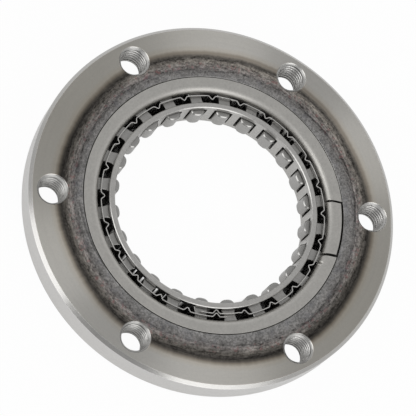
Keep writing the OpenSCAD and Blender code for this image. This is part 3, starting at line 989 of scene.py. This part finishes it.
for ob in copies(finish_mesh(thread_mesh(), 45), "thread", BOLT_COUNT, hole_place):
    dress(ob, threads, body_of["housing"], "ground_steel")

for i, ob in enumerate(copies(finish_mesh(sprag_mesh(), 28), "sprag_body", SPRAG_COUNT, sprag_place)):
    node = f"sprag_{i + 1:02d}"
    dress(ob, hard, body_of[node], "sprag_steel", node)

# ---------------------------------------------------------------- camera, as fitted to the photograph

FOCAL_PX, IMAGE_PX, SENSOR = 2420.7, 416, 36
# The camera's place and tilt in the frame of the ring's front face, in units of the ring's radius
DISTANCE, OFF_X, OFF_Y = 12.68113, 0.039424, 0.027872
TILT_X, TILT_Y, RING_TURN = 0.289797, 0.316248, -54.98
UNIT = 0.05
# The last fraction of a pixel, by which the render lay beside the photograph
NUDGE_X, NUDGE_Y = -0.05, 0.58

normal = Vector((TILT_X, TILT_Y, math.sqrt(1 - TILT_X ** 2 - TILT_Y ** 2)))
across = Vector((0, 1, 0)).cross(normal).normalized()
axes = [across, normal.cross(across), normal]
offset = Vector((OFF_X, OFF_Y, -DISTANCE))
rotation = Matrix([[v[i] for i in range(3)] for v in axes]).to_4x4()
cam_data = bpy.data.cameras.new("camera")
cam_data.sensor_width = SENSOR
cam_data.lens = SENSOR * FOCAL_PX / IMAGE_PX
cam_data.shift_x, cam_data.shift_y = NUDGE_X / IMAGE_PX, NUDGE_Y / IMAGE_PX
camera = link_object("camera", cam_data)
camera.matrix_world = (Matrix.Translation((0, 0, MOUNT_Z * MM)) @ Matrix.Rotation(rad(RING_TURN), 4, "Z")
                       @ Matrix.Translation(Vector([-offset.dot(v) * UNIT for v in axes])) @ rotation)
scene.camera = camera

# ---------------------------------------------------------------- floor, world and lamps


def floor_material():
    n = Nodes("pale floor")
    n.tree.nodes.remove(n.shader)
    n.place()
    path = n.add("ShaderNodeLightPath").outputs
    diffuse = n.add("ShaderNodeBsdfDiffuse", {"Color": (0.88, 0.88, 0.88)})
    white = n.add("ShaderNodeEmission", {"Color": (1, 1, 1), "Strength": 1.0})
    clear = n.add("ShaderNodeBsdfTransparent")
    seen = n.larger(path["Is Camera Ray"], path["Is Transmission Ray"])
    share = n.larger(n.times(seen, 0.965), n.times(path["Is Glossy Ray"], 0.4))
    # Between the cages no light reaches the floor, so there it keeps its full shade
    near_side = n.step(facing(n, n.c, n.s, FRONT_AZIMUTH), 0.35, 0.6)
    inner_shade = n.blend(near_side, n.step(n.r, INNER_IR, INNER_IR + 0.5), n.step(n.r, 24.2, 26.4))
    lit = n.inverse(n.times(inner_shade, n.fall(n.r, 36.0, 38.0)))
    mixed = n.add("ShaderNodeMixShader",
                  {0: n.times(share, lit), 1: diffuse.outputs[0], 2: white.outputs[0]})
    # From below, the floor can be seen through
    behind = n.add("ShaderNodeNewGeometry").outputs["Backfacing"]
    both = n.add("ShaderNodeMixShader", {0: behind, 1: mixed.outputs[0], 2: clear.outputs[0]})
    n.put(n.tree.nodes["Material Output"].inputs["Surface"], both.outputs[0])
    return n.mat


FLOOR_HALF, FLOOR_DROP = 3.0, 0.00005
bm = bmesh.new()
bmesh.ops.create_grid(bm, x_segments=1, y_segments=1, size=FLOOR_HALF)
floor_mesh = bpy.data.meshes.new("floor")
bm.to_mesh(floor_mesh)
bm.free()
floor = link_object("floor", floor_mesh)
floor.location = (0, 0, -FLOOR_DROP)
floor.data.materials.append(floor_material())


class WorldNodes(Nodes):
    """The same short names for the world's nodes."""

    def __init__(self, name):
        world = bpy.data.worlds.new(name)
        world.use_nodes = True
        scene.world = world
        self.tree = world.node_tree


w = WorldNodes("studio")
direction = w.add("ShaderNodeTexCoord").outputs["Generated"]
dx, dy, dz = w.add("ShaderNodeSeparateXYZ", {"Vector": direction}).outputs
flat = w.math("SQRT", w.plus(w.times(dx, dx), w.times(dy, dy)))
toward = w.math("DIVIDE", facing(w, dx, dy, FRONT_AZIMUTH), w.larger(flat, 0.001))
around = w.ramp(w.plus(w.times(toward, 0.5), 0.5),
                [(0.0, 0.80), (0.35, 0.66), (0.65, 0.56), (0.92, 0.48), (1.0, 0.38)])
level = w.blend(w.step(dz, 0.45, 0.85), around, 0.54)
path = w.add("ShaderNodeLightPath").outputs
shown = w.larger(path["Is Camera Ray"], path["Is Transmission Ray"])
background = w.tree.nodes["Background"].inputs
w.put(background["Color"], (1, 1, 1))
w.put(background["Strength"], w.blend(shown, level, 1.0))


def softbox(name, azimuth, elevation, distance, width, height, radiance):
    """An area lamp that faces the clutch, with the same brightness whatever its size."""
    data = bpy.data.lights.new(name, "AREA")
    data.shape = "RECTANGLE"
    data.size, data.size_y = width, height
    data.energy = radiance * math.pi * width * height
    ob = link_object(name, data)
    a, e = rad(azimuth), rad(elevation)
    away = Vector((math.cos(a) * math.cos(e), math.sin(a) * math.cos(e), math.sin(e)))
    ob.location = away * distance
    ob.rotation_mode = "QUATERNION"
    ob.rotation_quaternion = away.to_track_quat("Z", "Y")


softbox("softbox left", azimuth=130, elevation=30, distance=1.4, width=1.0, height=0.98, radiance=1.35)
softbox("softbox right", azimuth=227, elevation=30, distance=1.4, width=1.08, height=0.98, radiance=1.35)

scene.view_settings.view_transform = "Standard"
